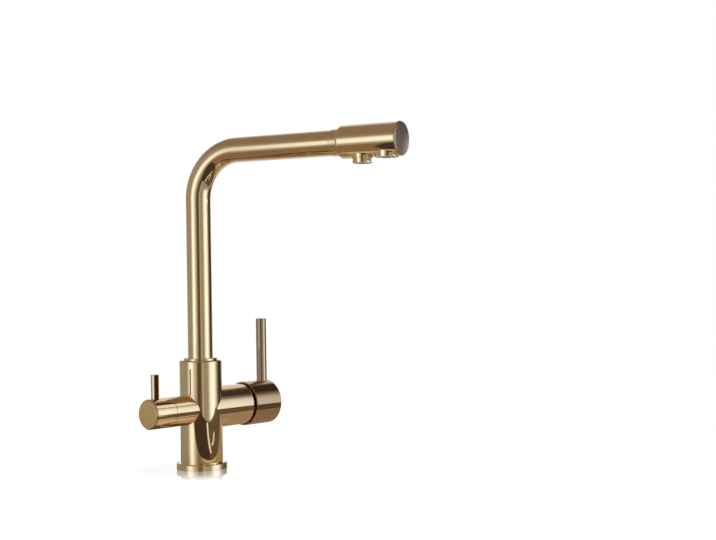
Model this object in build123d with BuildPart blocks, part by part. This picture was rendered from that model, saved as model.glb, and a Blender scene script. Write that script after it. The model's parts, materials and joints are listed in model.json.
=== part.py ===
"""Three way kitchen tap.

One swivelling spout carries two separate outlets: aerated mains water at the front of its head and
filtered water just behind. A single lever mixer on the right works the mains water, and a quarter
turn valve on the left works the filtered water, which runs through its own tube inside the spout.

Millimetres and degrees. The origin is the centre of the tap's underside on the worktop, +Z is up,
the mixer points along +X, the filter handle along -X, and the front of the tap faces -Y.
"""

import os
from math import asin, cos, radians, sin, sqrt

from build123d import *

os.makedirs("parts", exist_ok=True)

# ---------------------------------------------------------------- driving sizes
# clearances
running = 0.06  # radial, between pieces that turn in each other
seated = 0.05  # between pieces of one body that slide together
clear = 0.3  # between pieces of different bodies that only pass each other
seam = 1.2  # the gap that shows between the branch and the mixer's cap

# column and foot
column_d = 42.6
column_h = 110.0
column_edge = 1.0  # chamfer round the column's top
flange_overhang = 4.35
flange_h = 6.5
flange_edge = 0.8
seal_w = 2.0
seal_depth = 1.5
handle_z = 60.5  # height of the axis that both handles share

# inlets under the column
foot_wall = 3.3
inlet_block_h = 14.0
inlet_d = 10.0  # M10 hose tails
inlet_wall = 1.7
inlet_depth = 9.5
inlet_spread = 60.0  # hot and cold lie this far either side of the mixer, seen from above
stud_d = 8.0  # M8 fixing stud
stud_depth = 11.0
channel_d = 5.0
mixed_channel_d = 5.6
mixed_channel_wall = 2.7  # between its riser and the cartridge's chamber
filtered_out_d = 4.4
filtered_out_rise = 8.2  # from the valve's axis up to the hole where filtered water leaves it

# mixer: branch, cap and lever
branch_d = 42.2
branch_wall = 2.6
bevel_length = 2.4
bevel_depth = 0.8
cap_gap = 0.4  # between the branch and the bore of the cap that rolls over it
cap_wall = 1.4
cap_length = 35.0
cap_edge = 0.8
lever_d = 10.8
lever_setback = 6.7  # from the cap's outer end to the lever's axis
lever_top = 88.7  # above the handles' axis
lever_sink = 8.0  # the lever's foot, above the handles' axis
stem_gap = 5.0  # from the stem's end to the cap's floor
screw_d = 5.0

# mixer cartridge, from the chamber's floor outwards
chamber_floor = 15.0
base_t = 2.2
plug_t = 3.0
fixed_disc_t = 3.5
moving_disc_t = 3.55
driver_t = 4.7
driver_boss_t = 2.2
driver_boss_h = 10.0
carrier_flange_t = 3.2
housing_top_t = 3.0
housing_wall = 2.2
housing_neck_h = 8.0
nut_ring_w = 6.3
nut_ring_t = 7.0
nut_hex_t = 4.0
nut_hex_w = 27.0
dome_skirt_h = 8.5
dome_t = 1.2
dome_half_angle = 45.0
stem_w = 7.0
stem_pin_d = 3.0
pivot_rise = 4.0  # the stem's pivot, out from the nut's inner face
ball_d = 5.0
flow_angle = 25.0  # how far the lever tilts
port_circle_r = 7.6  # hot and cold meet the cartridge this far from its axis
hot_port_y = 7.3
port_arc_start = 8.0  # degrees from straight up
port_arc_end = 55.0
base_arc_end = 84.0
carrier_d = 18.0

# filter side: branch, knob and lever
filter_branch_d = 29.8
filter_knob_length = 24.4
filter_knob_wall = 2.2
filter_knob_rim = 0.7
filter_plate_t = 0.8
filter_lever_d = 8.0
filter_lever_setback = 9.6
filter_lever_top = 38.7
filter_lever_sink = 6.5
filter_screw_d = 4.0

# filter valve, from its chamber's floor outwards
valve_floor = 18.0
valve_d = 21.8
valve_seal_t = 2.2
valve_fixed_t = 3.0
valve_moving_t = 2.5
valve_tube_length = 10.8
valve_thread_t = 5.0
valve_hex_t = 5.5
valve_hex_w = 17.0
valve_nose_t = 6.5
valve_tube_d = 14.8
valve_tube_wall = 1.1
spindle_d = 7.8

# spout
tube_d = 25.0
tube_wall = 1.2
spout_z = 321.3  # height of the spout's level stretch
bend_r = 48.0
spout_turn = 14.5  # how far the spout is swung from the front towards the mixer
collar_overhang = 4.3
collar_h = 2.2
sleeve_wall = 2.0
sleeve_depth = 11.8
spigot_h = 15.2  # below the tube's foot
spigot_neck = 7.8  # inside the tube
spigot_gap = 3.0  # under the spigot, where mixed water gathers
spout_ring_t = 1.8
spout_ring_pitch = 4.0
inner_tube_d = 8.0
inner_tube_wall = 1.0
inner_port_depth = 8.0
tube_seal_t = 1.5

# spout head, in distances from the column's axis along the spout
head_start = 165.8
head_wall = 3.0
head_overhang = 3.5
head_edge = 3.0
neck_length = 7.2
neck_t = 0.45
lip_t = 0.8
lip_overhang = 1.1
filtered_setback = 22.2  # from the head's rear to the filtered outlet's axis
outlet_spacing = 26.4
nose_wall = 1.8  # from the mains outlet's collar to the head's front
end_cap_t = 1.8
end_bevel_t = 1.2
end_bevel_w = 1.0
end_cap_overhang = 0.45
end_groove = 0.6
filtered_boss_d = 20.4
filtered_nozzle_d = 18.6
filtered_thread_d = 14.0
filtered_nozzle_h = 4.8
filtered_drop = 21.3  # the nozzle's mouth below the spout's axis
mains_boss_d = 23.4
mains_boss_wall = 1.3
mains_drop = 16.8
elbow_d = 11.2
elbow_wall = 2.6

# ---------------------------------------------------------------- worked out from them
column_r = column_d / 2
flange_r = column_r + flange_overhang
seal_inner = column_r + (flange_overhang - seal_w) / 2
seal_outer = seal_inner + seal_w
inlet_block_r = column_r - foot_wall
inlet_r = inlet_d / 2
inlet_circle_r = inlet_block_r - inlet_r - inlet_wall
inlet_x = inlet_circle_r * cos(radians(inlet_spread))
inlet_y = inlet_circle_r * sin(radians(inlet_spread))
stud_r = stud_d / 2
channel_r = channel_d / 2
mixed_channel_r = mixed_channel_d / 2
filtered_out_r = filtered_out_d / 2

branch_r = branch_d / 2
nut_r = branch_r - branch_wall
cartridge_r = nut_r - 1.1
housing_bore_r = cartridge_r - housing_wall
carrier_r = carrier_d / 2
cap_bore_r = branch_r + cap_gap
cap_r = cap_bore_r + cap_wall
base_end = chamber_floor + base_t
plug_end = base_end + plug_t
fixed_disc_end = plug_end + fixed_disc_t
moving_disc_start = fixed_disc_end + seated
moving_disc_end = moving_disc_start + moving_disc_t
driver_end = moving_disc_end + driver_t
driver_boss_end = driver_end + driver_boss_t
carrier_start = driver_boss_end + clear
carrier_flange_end = carrier_start + carrier_flange_t
housing_top = carrier_flange_end + clear
nut_start = housing_top + housing_top_t
nut_face = nut_start + nut_ring_t
branch_reach = nut_face + dome_skirt_h
pivot_reach = nut_start + pivot_rise
ball_r = ball_d / 2
ball_reach = driver_boss_end - ball_r - 0.2
disc_travel = (pivot_reach - ball_reach) * sin(radians(flow_angle))
cap_start = branch_reach + seam
cap_end = cap_start + cap_length
lever_r = lever_d / 2
lever_reach = cap_end - lever_setback
screw_r = screw_d / 2
pin_r = stem_pin_d / 2

filter_branch_r = filter_branch_d / 2
valve_r = valve_d / 2
valve_tube_r = valve_tube_d / 2
valve_tube_bore_r = valve_tube_r - valve_tube_wall
valve_disc_r = valve_tube_bore_r - 2 * seated
valve_seal_end = valve_floor + valve_seal_t
valve_fixed_end = valve_seal_end + valve_fixed_t
valve_moving_end = valve_fixed_end + seated + valve_moving_t
valve_shoulder = valve_seal_end + valve_tube_length
valve_hex = valve_shoulder + valve_thread_t
valve_hex_end = valve_hex + valve_hex_t
valve_nose_end = valve_hex_end + valve_nose_t
filter_branch_reach = valve_hex_end + 2.1
spindle_r = spindle_d / 2
knob_start = filter_branch_reach + clear
knob_end = knob_start + filter_knob_length
filter_lever_r = filter_lever_d / 2
filter_lever_reach = knob_end + filter_plate_t - filter_lever_setback
spindle_end = filter_lever_reach - 1.5
filter_screw_r = filter_screw_d / 2

tube_r = tube_d / 2
tube_bore_r = tube_r - tube_wall
sleeve_r = tube_r + sleeve_wall
collar_r = tube_r + collar_overhang
socket_r = tube_r + running
tube_foot = column_h - sleeve_depth
spigot_foot = tube_foot - spigot_h
socket_floor = spigot_foot - spigot_gap
inner_tube_r = inner_tube_d / 2
inner_port_r = inner_tube_r + running
inner_port_floor = socket_floor - inner_port_depth
inner_tube_foot = inner_port_floor + 1.0
head_r = tube_r + head_overhang
head_bore_r = head_r - head_wall
filtered_boss_r = filtered_boss_d / 2
filtered_nozzle_r = filtered_nozzle_d / 2
filtered_thread_r = filtered_thread_d / 2
filtered_boss_bottom = filtered_nozzle_h - filtered_drop
filtered_reach = head_start + filtered_setback
mains_boss_r = mains_boss_d / 2
mains_bore_r = mains_boss_r - mains_boss_wall
mains_reach = filtered_reach + outlet_spacing
head_end = mains_reach + mains_boss_r + nose_wall
tube_end = filtered_reach - filtered_boss_r - 0.1
end_cap_r = head_r + end_cap_overhang
end_cap_start = head_end + end_groove
end_cap_end = end_cap_start + end_cap_t

# ---------------------------------------------------------------- planes and axes
swing = radians(spout_turn)
up = Vector(0, 0, 1)
spout_way = Vector(sin(swing), -cos(swing), 0)
column_side = Plane(origin=(0, 0, 0), x_dir=(1, 0, 0), z_dir=(0, -1, 0))
mixer_side = Plane(origin=(0, 0, handle_z), x_dir=(1, 0, 0), z_dir=(0, -1, 0))
filter_side = Plane(origin=(0, 0, handle_z), x_dir=(-1, 0, 0), z_dir=(0, 1, 0))
spout_side = Plane(origin=(0, 0, 0), x_dir=spout_way, z_dir=spout_way.cross(up))
head_side = Plane(origin=(0, 0, spout_z), x_dir=spout_way, z_dir=spout_way.cross(up))
column_axis = Axis((0, 0, 0), (0, 0, 1))
handle_axis = Axis((0, 0, handle_z), (1, 0, 0))
head_axis = Axis((0, 0, spout_z), spout_way)


def mixer_face(reach):
    """The plane square to the handles' axis on the mixer's side: x is +Y and y is +Z."""
    return Plane(origin=(reach, 0, handle_z), x_dir=(0, 1, 0), z_dir=(1, 0, 0))


def filter_face(reach):
    """The plane square to the handles' axis on the filter's side: x is -Y and y is +Z."""
    return Plane(origin=(-reach, 0, handle_z), x_dir=(0, -1, 0), z_dir=(-1, 0, 0))


def spin(outline, plane, axis, mode=Mode.ADD):
    """Turn an outline into a round piece."""
    with BuildSketch(plane) as section:
        with BuildLine():
            Polyline(*outline, close=True)
        make_face()
    revolve(section.sketch, axis=axis, mode=mode)


def on_mixer(outline, mode=Mode.ADD):
    """Turn (reach, radius) points about the handles' axis, on the mixer's side."""
    spin(outline, mixer_side, handle_axis, mode)


def on_filter(outline, mode=Mode.ADD):
    """Turn (reach, radius) points about the handles' axis, on the filter's side."""
    spin(outline, filter_side, handle_axis, mode)


def on_column(outline, mode=Mode.ADD):
    """Turn (radius, height) points about the column's axis."""
    spin(outline, column_side, column_axis, mode)


def on_head(outline, mode=Mode.ADD):
    """Turn (reach, radius) points about the spout's level stretch."""
    spin(outline, head_side, head_axis, mode)


def on_outlet(reach, outline, mode=Mode.ADD):
    """Turn (radius, height above the spout's axis) points about an outlet's upright axis."""
    centre = spout_way * reach + up * spout_z
    place = Plane(origin=centre, x_dir=spout_way, z_dir=spout_way.cross(up))
    spin(outline, place, Axis(centre, up), mode)


def outlet_face(reach, height):
    """The level plane of an outlet, that far above the spout's axis."""
    return Plane(origin=spout_way * reach + up * (spout_z + height), x_dir=spout_way)


def band(start, end, inner, outer):
    """The outline of a ring that lies between two reaches and two radii."""
    return [(start, inner), (end, inner), (end, outer), (start, outer)]


def layer(inner, outer, bottom, top):
    """The outline of a ring that lies between two radii and two heights."""
    return [(inner, bottom), (outer, bottom), (outer, top), (inner, top)]


def holes(plane, places, radius, depth, mode=Mode.SUBTRACT):
    """Round holes, or rods, that go along a plane's normal."""
    with BuildSketch(plane) as marks:
        with Locations(*places):
            Circle(radius)
    extrude(marks.sketch, amount=depth, mode=mode)


def arc_ports(plane, middle_r, width, end, depth):
    """The hot and cold ports: curved slots round the axis, mirrored about the upright.

    The end angle is counted from straight up.
    """
    inner = middle_r - width / 2
    outer = middle_r + width / 2
    angles = [radians(angle) for angle in (port_arc_start, (port_arc_start + end) / 2, end)]
    with BuildSketch(plane) as ports:
        with BuildLine():
            outside = [(outer * sin(angle), outer * cos(angle)) for angle in angles]
            inside = [(inner * sin(angle), inner * cos(angle)) for angle in angles]
            ThreePointArc(*outside)
            Line(outside[2], inside[2])
            ThreePointArc(*inside)
            Line(inside[0], outside[0])
        make_face()
        mirror(about=Plane.YZ)
    extrude(ports.sketch, amount=depth, mode=Mode.SUBTRACT)


def grub_screw(length, radius, key_w):
    """A headless screw along +Z with its tip at the origin and a hexagon key socket on top."""
    with BuildPart(mode=Mode.PRIVATE) as screw:
        Cylinder(radius, length, align=(Align.CENTER, Align.CENTER, Align.MIN))
        chamfer(screw.edges().filter_by(GeomType.CIRCLE).sort_by(Axis.Z)[0], radius * 0.4)
        with BuildSketch(Plane.XY.offset(length)) as key:
            RegularPolygon(key_w / 2, 6, major_radius=False)
        extrude(key.sketch, amount=-length * 0.5, mode=Mode.SUBTRACT)
    return screw.part


def save(piece, name):
    piece.part.label = name
    export_step(piece.part, "parts/" + name + ".step")


# ================================================================ column and foot
chamber_r = cartridge_r + 2 * seated
nut_bore_r = nut_r + seated
valve_bore_r = valve_r + seated
tube_seal_z = socket_floor - inner_port_depth / 2
hot_port_z = sqrt(port_circle_r**2 - hot_port_y**2)
mixed_riser_x = chamber_floor - mixed_channel_r - mixed_channel_wall
spout_screw_z = tube_foot - screw_r - 0.7

with BuildPart() as column_body:
    on_column([
        (0, 0),
        (column_r, 0),
        (column_r, column_h - column_edge),
        (column_r - column_edge, column_h),
        (0, column_h),
    ])
    on_mixer([
        (0, 0),
        (branch_reach, 0),
        (branch_reach, branch_r - bevel_depth),
        (branch_reach - bevel_length, branch_r),
        (0, branch_r),
    ])
    on_filter(band(0, filter_branch_reach, 0, filter_branch_r))
    # chambers for the cartridge, the filter valve, the spout's foot and the inlet block
    on_mixer(band(chamber_floor, nut_start, 0, chamber_r), Mode.SUBTRACT)
    on_mixer(band(nut_start, branch_reach, 0, nut_bore_r), Mode.SUBTRACT)
    on_filter(band(valve_floor, filter_branch_reach, 0, valve_bore_r), Mode.SUBTRACT)
    on_column(layer(0, socket_r, socket_floor, column_h), Mode.SUBTRACT)
    on_column(layer(0, sleeve_r + seated, tube_foot, column_h), Mode.SUBTRACT)
    on_column(layer(0, inlet_block_r + seated, 0, inlet_block_h), Mode.SUBTRACT)
    # hot and cold water rise either side of the middle and turn into the cartridge
    risers = [(inlet_x, hot_port_y), (inlet_x, -hot_port_y)]
    holes(Plane.XY.offset(inlet_block_h), risers, channel_r, handle_z + hot_port_z - inlet_block_h)
    ports = [(hot_port_y, hot_port_z), (-hot_port_y, hot_port_z)]
    holes(mixer_face(chamber_floor), ports, channel_r, inlet_x - chamber_floor)
    # mixed water leaves the cartridge's middle and rises to the spout
    holes(mixer_face(chamber_floor), [(0, 0)], mixed_channel_r, mixed_riser_x - chamber_floor)
    holes(Plane.XY.offset(handle_z), [(mixed_riser_x, 0)], mixed_channel_r, socket_floor - handle_z)
    # filtered water rises to the valve, leaves it higher up and goes to the inner tube's port
    holes(Plane.XY.offset(inlet_block_h), [(-inlet_circle_r, 0)], channel_r, handle_z - inlet_block_h)
    holes(filter_face(valve_floor), [(0, 0)], channel_r, inlet_circle_r - valve_floor)
    holes(filter_face(valve_floor), [(0, filtered_out_rise)], filtered_out_r, -valve_floor)
    filtered_top = handle_z + filtered_out_rise
    holes(Plane.XY.offset(filtered_top), [(0, 0)], filtered_out_r, inner_port_floor - filtered_top)
    holes(Plane.XY.offset(inner_port_floor), [(0, 0)], inner_port_r, socket_floor - inner_port_floor)
    seal_half = tube_seal_t / 2 + seated
    seal_groove = layer(0, inner_port_r + tube_seal_t, tube_seal_z - seal_half, tube_seal_z + seal_half)
    on_column(seal_groove, Mode.SUBTRACT)
    # the screw that keeps the spout down goes in from the back
    holes(Plane.XZ.offset(-column_r), [(0, spout_screw_z)], screw_r + seated, column_r)
save(column_body, "column_body")

with BuildPart() as inlet_block:
    on_column([
        (0, 0),
        (inlet_block_r - 0.5, 0),
        (inlet_block_r, 0.5),
        (inlet_block_r, inlet_block_h),
        (0, inlet_block_h),
    ])
    inlets = [(inlet_x, inlet_y), (inlet_x, -inlet_y), (-inlet_circle_r, 0)]
    holes(Plane.XY, inlets, inlet_r, inlet_depth)
    holes(Plane.XY, [(0, 0)], stud_r, stud_depth)
    outlets = [(inlet_x, hot_port_y), (inlet_x, -hot_port_y), (-inlet_circle_r, 0)]
    holes(Plane.XY.offset(inlet_depth), outlets, channel_r, inlet_block_h - inlet_depth)
save(inlet_block, "inlet_block")

with BuildPart() as base_flange:
    on_column([
        (column_r + seated, 0),
        (flange_r, 0),
        (flange_r, flange_h - flange_edge),
        (flange_r - flange_edge, flange_h),
        (column_r + seated, flange_h),
    ])
    on_column(layer(seal_inner, seal_outer, 0, seal_depth), Mode.SUBTRACT)
save(base_flange, "base_flange")

with BuildPart() as base_seal:
    on_column(layer(seal_inner + seated, seal_outer - seated, 0, seal_depth))
save(base_seal, "base_seal")

with BuildPart() as swivel_collar:
    on_column([
        (socket_r, tube_foot + clear),
        (sleeve_r, tube_foot + clear),
        (sleeve_r, column_h),
        (collar_r, column_h),
        (collar_r, column_h + collar_h - 0.4),
        (collar_r - 0.4, column_h + collar_h),
        (socket_r, column_h + collar_h),
    ])
save(swivel_collar, "swivel_collar")

with BuildPart() as tube_seal:
    with BuildSketch(column_side):
        with Locations((inner_port_r + tube_seal_t / 2, tube_seal_z)):
            Circle(tube_seal_t / 2)
    revolve(axis=column_axis)
save(tube_seal, "tube_seal")

# ================================================================ spout's foot and tubes
screw_groove_r = tube_r - 1.6
screw_tip = screw_groove_r + clear
screw_tip_length = 2.0
screw_back = column_r - 0.8
with BuildPart() as spout_screw:
    add(Plane(origin=(0, screw_tip + screw_tip_length, spout_screw_z), z_dir=(0, 1, 0)) *
        grub_screw(screw_back - screw_tip - screw_tip_length, screw_r, screw_r))
    holes(Plane.XZ.offset(-screw_tip), [(0, spout_screw_z)], screw_r * 0.4, -screw_tip_length - 0.5, Mode.ADD)
save(spout_screw, "spout_screw")

ring_groove_r = tube_r - spout_ring_t - seated
ring_heights = (spigot_foot + spout_ring_pitch, spigot_foot + 2 * spout_ring_pitch)
waterway_r = (ring_groove_r - inner_tube_r) / 2 - 1.1
with BuildPart() as spout_spigot:
    on_column([
        (inner_tube_r + seated, spigot_foot),
        (tube_r - 0.6, spigot_foot),
        (tube_r, spigot_foot + 0.6),
        (tube_r, tube_foot),
        (tube_bore_r - seated, tube_foot),
        (tube_bore_r - seated, tube_foot + spigot_neck),
        (inner_tube_r + seated, tube_foot + spigot_neck),
    ])
    for height in ring_heights:
        half = spout_ring_t / 2 + seated
        on_column(layer(ring_groove_r, tube_r + 1, height - half, height + half), Mode.SUBTRACT)
    screw_groove_half = screw_r * 0.4 + 0.5
    screw_groove = layer(
        screw_groove_r, tube_r + 1, spout_screw_z - screw_groove_half, spout_screw_z + screw_groove_half
    )
    on_column(screw_groove, Mode.SUBTRACT)
    with BuildSketch(Plane.XY.offset(spigot_foot)):
        with PolarLocations((inner_tube_r + ring_groove_r) / 2, 6):
            Circle(waterway_r)
    extrude(amount=spigot_h + spigot_neck, mode=Mode.SUBTRACT)
save(spout_spigot, "spout_spigot")

with BuildPart() as spout_rings:
    for height in ring_heights:
        with BuildSketch(column_side):
            with Locations((tube_r - spout_ring_t / 2, height)):
                Circle(spout_ring_t / 2)
        revolve(axis=column_axis)
save(spout_rings, "spout_rings")

with BuildPart() as spout_tube:
    with BuildLine(spout_side):
        FilletPolyline((0, tube_foot), (0, spout_z), (tube_end, spout_z), radius=bend_r)
    with BuildSketch(Plane.XY.offset(tube_foot)):
        Circle(tube_r)
        Circle(tube_bore_r, mode=Mode.SUBTRACT)
    sweep()
save(spout_tube, "spout_tube")

elbow_r = elbow_d / 2
inner_tube_end = filtered_reach - elbow_r - 0.4
with BuildPart() as inner_tube:
    with BuildLine(spout_side):
        FilletPolyline((0, inner_tube_foot), (0, spout_z), (inner_tube_end, spout_z), radius=bend_r)
    with BuildSketch(Plane.XY.offset(inner_tube_foot)):
        Circle(inner_tube_r)
        Circle(inner_tube_r - inner_tube_wall, mode=Mode.SUBTRACT)
    sweep()
save(inner_tube, "inner_tube")

# ================================================================ spout head
neck_r = tube_r + neck_t
lip_r = tube_r + lip_overhang
groove_pitch = 2.4
groove_w = 0.8
with BuildPart() as head_neck:
    neck_end = head_start - lip_t
    neck_start = neck_end - neck_length
    on_head([
        (neck_start, tube_r + seated),
        (neck_start, neck_r),
        (neck_end, neck_r),
        (neck_end, lip_r),
        (head_start, lip_r),
        (head_start, tube_r + seated),
    ])
    for i in range(3):
        groove = neck_end - 1.0 - i * groove_pitch
        on_head(band(groove - groove_w, groove, neck_r - 0.2, neck_r + 1), Mode.SUBTRACT)
save(head_neck, "head_neck")

nozzle_seat = clear - head_bore_r + 0.3
plug_depth = nose_wall + mains_boss_wall - seated - 0.35
with BuildPart() as spout_head:
    on_head(band(head_start, head_end, 0, head_r))
    fillet(spout_head.edges().filter_by(GeomType.CIRCLE).sort_by(head_axis)[0], head_edge)
    on_outlet(filtered_reach, layer(0, filtered_boss_r, filtered_boss_bottom, 0))
    on_outlet(mains_reach, layer(0, mains_boss_r, -mains_drop, 0))
    on_head(band(head_start, tube_end, 0, tube_r + seated), Mode.SUBTRACT)
    on_head(band(tube_end, head_end, 0, head_bore_r), Mode.SUBTRACT)
    filtered_hole = layer(0, filtered_thread_r + seated, filtered_boss_bottom, nozzle_seat + 1)
    on_outlet(filtered_reach, filtered_hole, Mode.SUBTRACT)
    on_outlet(mains_reach, layer(0, mains_bore_r + seated, -mains_drop, 0), Mode.SUBTRACT)
save(spout_head, "spout_head")

with BuildPart() as head_cap:
    on_head([
        (head_end - plug_depth, head_bore_r - 3),
        (head_end - plug_depth, head_bore_r - seated),
        (head_end, head_bore_r - seated),
        (head_end, head_r - 1.1),
        (end_cap_start, head_r - 1.1),
        (end_cap_start, end_cap_r),
        (end_cap_end - end_bevel_t, end_cap_r),
        (end_cap_end, end_cap_r - end_bevel_w),
        (end_cap_end, 0),
        (head_end - 1, 0),
        (head_end - 1, head_bore_r - 3),
    ])
save(head_cap, "head_cap")

# filtered water: the inner tube pushes into an elbow that is screwed to its nozzle
elbow_bore_r = elbow_r - elbow_wall
elbow_socket = 8.0
with BuildPart() as filtered_elbow:
    on_head(band(inner_tube_end - elbow_socket, filtered_reach + elbow_r, 0, elbow_r))
    on_outlet(filtered_reach, layer(0, elbow_r - 0.4, nozzle_seat, 0))
    on_head(band(inner_tube_end - elbow_socket, inner_tube_end, 0, inner_tube_r + seated), Mode.SUBTRACT)
    on_head(band(inner_tube_end, filtered_reach + elbow_bore_r, 0, elbow_bore_r), Mode.SUBTRACT)
    on_outlet(filtered_reach, layer(0, elbow_bore_r - 0.2, nozzle_seat, 0), Mode.SUBTRACT)
save(filtered_elbow, "filtered_elbow")

nozzle_bore_r = filtered_nozzle_r - 1.8
mouth_depth = 2.4
with BuildPart() as filtered_nozzle:
    on_outlet(filtered_reach, [
        (elbow_bore_r, nozzle_seat),
        (filtered_thread_r, nozzle_seat),
        (filtered_thread_r, filtered_boss_bottom),
        (filtered_nozzle_r, filtered_boss_bottom),
        (filtered_nozzle_r, -filtered_drop + 0.4),
        (filtered_nozzle_r - 0.4, -filtered_drop),
        (nozzle_bore_r, -filtered_drop),
        (nozzle_bore_r, -filtered_drop + mouth_depth),
        (elbow_bore_r, -filtered_drop + mouth_depth + 2),
    ])
save(filtered_nozzle, "filtered_nozzle")

insert_r = nozzle_bore_r - seated
with BuildPart() as filtered_insert:
    on_outlet(filtered_reach, layer(0, insert_r, -filtered_drop + 0.6, -filtered_drop + mouth_depth))
    with BuildSketch(outlet_face(filtered_reach, -filtered_drop)):
        Circle(insert_r * 0.14)
        with PolarLocations(insert_r * 0.37, 6):
            Circle(insert_r * 0.11)
        with PolarLocations(insert_r * 0.69, 12):
            Circle(insert_r * 0.11)
    extrude(amount=mouth_depth + 1, mode=Mode.SUBTRACT)
save(filtered_insert, "filtered_insert")

aerator_bore_r = mains_bore_r - 1.8
aerator_sink = 0.3  # the housing's rim above the collar's
aerator_h = 5.7
ledge_w = 1.4
ledge_t = 1.0
with BuildPart() as aerator_housing:
    rim = aerator_sink - mains_drop
    on_outlet(mains_reach, [
        (aerator_bore_r, rim),
        (mains_bore_r, rim),
        (mains_bore_r, rim + aerator_h),
        (aerator_bore_r - ledge_w, rim + aerator_h),
        (aerator_bore_r - ledge_w, rim + aerator_h - ledge_t),
        (aerator_bore_r, rim + aerator_h - ledge_t),
    ])
save(aerator_housing, "aerator_housing")

cage_r = aerator_bore_r - seated
cage_w = 0.9
cell = 1.9
cell_wall = 0.5
mesh_t = 1.4
with BuildPart() as aerator_insert:
    on_outlet(mains_reach, layer(cage_r - cage_w, cage_r, rim + 0.5, rim + aerator_h - ledge_t))
    with BuildSketch(outlet_face(mains_reach, rim + 0.9)):
        Circle(cage_r - cage_w / 2)
        with HexLocations((cell + cell_wall) / 2, 6, 6) as cells:
            whole = [place for place in cells.local_locations
                     if place.position.length < cage_r - cage_w - cell / 2]
        with Locations(*whole):
            RegularPolygon(cell / 2, 6, major_radius=False, mode=Mode.SUBTRACT)
    extrude(amount=mesh_t)
save(aerator_insert, "aerator_insert")

# ================================================================ mixer cartridge
housing_neck_r = nut_r - nut_ring_w + clear
seal_outer_r = channel_r + 1.2
seal_inner_r = channel_r + 0.35
seal_t = 1.0
port_places = [(0, 0), (hot_port_y, hot_port_z), (-hot_port_y, hot_port_z)]

with BuildPart() as cartridge_base:
    on_mixer(band(chamber_floor, base_end, 0, cartridge_r))
    on_mixer(band(base_end, plug_end, 0, housing_bore_r - seated))
    holes(mixer_face(chamber_floor), port_places, seal_outer_r + seated, seal_t)
    holes(mixer_face(chamber_floor), [(0, 0)], mixed_channel_r, plug_end - chamber_floor)
    arc_ports(mixer_face(chamber_floor + seal_t), port_circle_r, 3.2, base_arc_end, base_t + plug_t)
save(cartridge_base, "cartridge_base")

with BuildPart() as cartridge_seals:
    with BuildSketch(mixer_face(chamber_floor)):
        with Locations(*port_places):
            Circle(seal_outer_r)
            Circle(seal_inner_r, mode=Mode.SUBTRACT)
    extrude(amount=seal_t)
save(cartridge_seals, "cartridge_seals")

with BuildPart() as cartridge_housing:
    on_mixer([
        (base_end, housing_bore_r),
        (housing_top, housing_bore_r),
        (housing_top, carrier_r + running),
        (nut_start + housing_neck_h, carrier_r + running),
        (nut_start + housing_neck_h, housing_neck_r),
        (nut_start, housing_neck_r),
        (nut_start, cartridge_r),
        (base_end, cartridge_r),
    ])
save(cartridge_housing, "cartridge_housing")

with BuildPart() as cartridge_fixed_disc:
    on_mixer(band(plug_end, fixed_disc_end, mixed_channel_r, housing_bore_r - seated))
    arc_ports(mixer_face(plug_end), port_circle_r, 2.4, port_arc_end, fixed_disc_t)
save(cartridge_fixed_disc, "cartridge_fixed_disc")

with BuildPart() as cartridge_nut:
    on_mixer(band(nut_start, nut_face, housing_neck_r + clear, nut_r))
    with BuildSketch(mixer_face(nut_face)):
        RegularPolygon(nut_hex_w / 2, 6, major_radius=False)
        Circle(housing_neck_r + clear, mode=Mode.SUBTRACT)
    extrude(amount=nut_hex_t)
save(cartridge_nut, "cartridge_nut")

# the dome closes the branch, and the cap rolls round it as the lever tilts
dome_r = cap_bore_r - clear
skirt_r = nut_r - 2 * seated


def dome_arc(radius, skirt):
    """The end on the skirt, the middle and the end on the mouth of one side of the dome."""
    skirt_angle = asin(skirt / radius)
    mouth_angle = radians(dome_half_angle)
    angles = (skirt_angle, (skirt_angle + mouth_angle) / 2, mouth_angle)
    return [(pivot_reach + radius * cos(angle), radius * sin(angle)) for angle in angles]


with BuildPart() as mixer_dome:
    with BuildSketch(mixer_side):
        with BuildLine():
            outside = dome_arc(dome_r, skirt_r)
            inside = dome_arc(dome_r - dome_t, skirt_r - dome_t)
            Polyline(inside[0], (nut_face, skirt_r - dome_t), (nut_face, skirt_r), outside[0])
            ThreePointArc(*outside)
            Line(outside[2], inside[2])
            ThreePointArc(*inside)
        make_face()
    revolve(axis=handle_axis)
save(mixer_dome, "mixer_dome")

slot_w = stem_w + 0.2
slot_half_h = carrier_r - 1.4
carrier_flange_r = housing_neck_r - 0.5
rail_w = 2.4
rail_inner = 7.0
rail_half_h = 7.2
carrier_end = nut_start + housing_neck_h + 0.5
with BuildPart() as cartridge_carrier:
    on_mixer(band(carrier_start, carrier_flange_end, 0, carrier_flange_r))
    on_mixer(band(carrier_flange_end, carrier_end, 0, carrier_r))
    with BuildSketch(mixer_face(driver_end + clear)):
        with Locations((rail_inner + rail_w / 2, 0), (-rail_inner - rail_w / 2, 0)):
            Rectangle(rail_w, 2 * rail_half_h)
    extrude(amount=carrier_start - driver_end - clear)
    with BuildSketch(mixer_face(carrier_start)):
        Rectangle(slot_w, 2 * slot_half_h)
    extrude(amount=carrier_end - carrier_start, mode=Mode.SUBTRACT)
    holes(Plane.XZ.offset(-carrier_r), [(pivot_reach, handle_z)], pin_r + seated, 2 * carrier_r)
save(cartridge_carrier, "cartridge_carrier")

pin_half = carrier_r - 1.0
with BuildPart() as stem_pin:
    holes(Plane.XZ.offset(-pin_half), [(pivot_reach, handle_z)], pin_r, 2 * pin_half, Mode.ADD)
save(stem_pin, "stem_pin")

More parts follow.
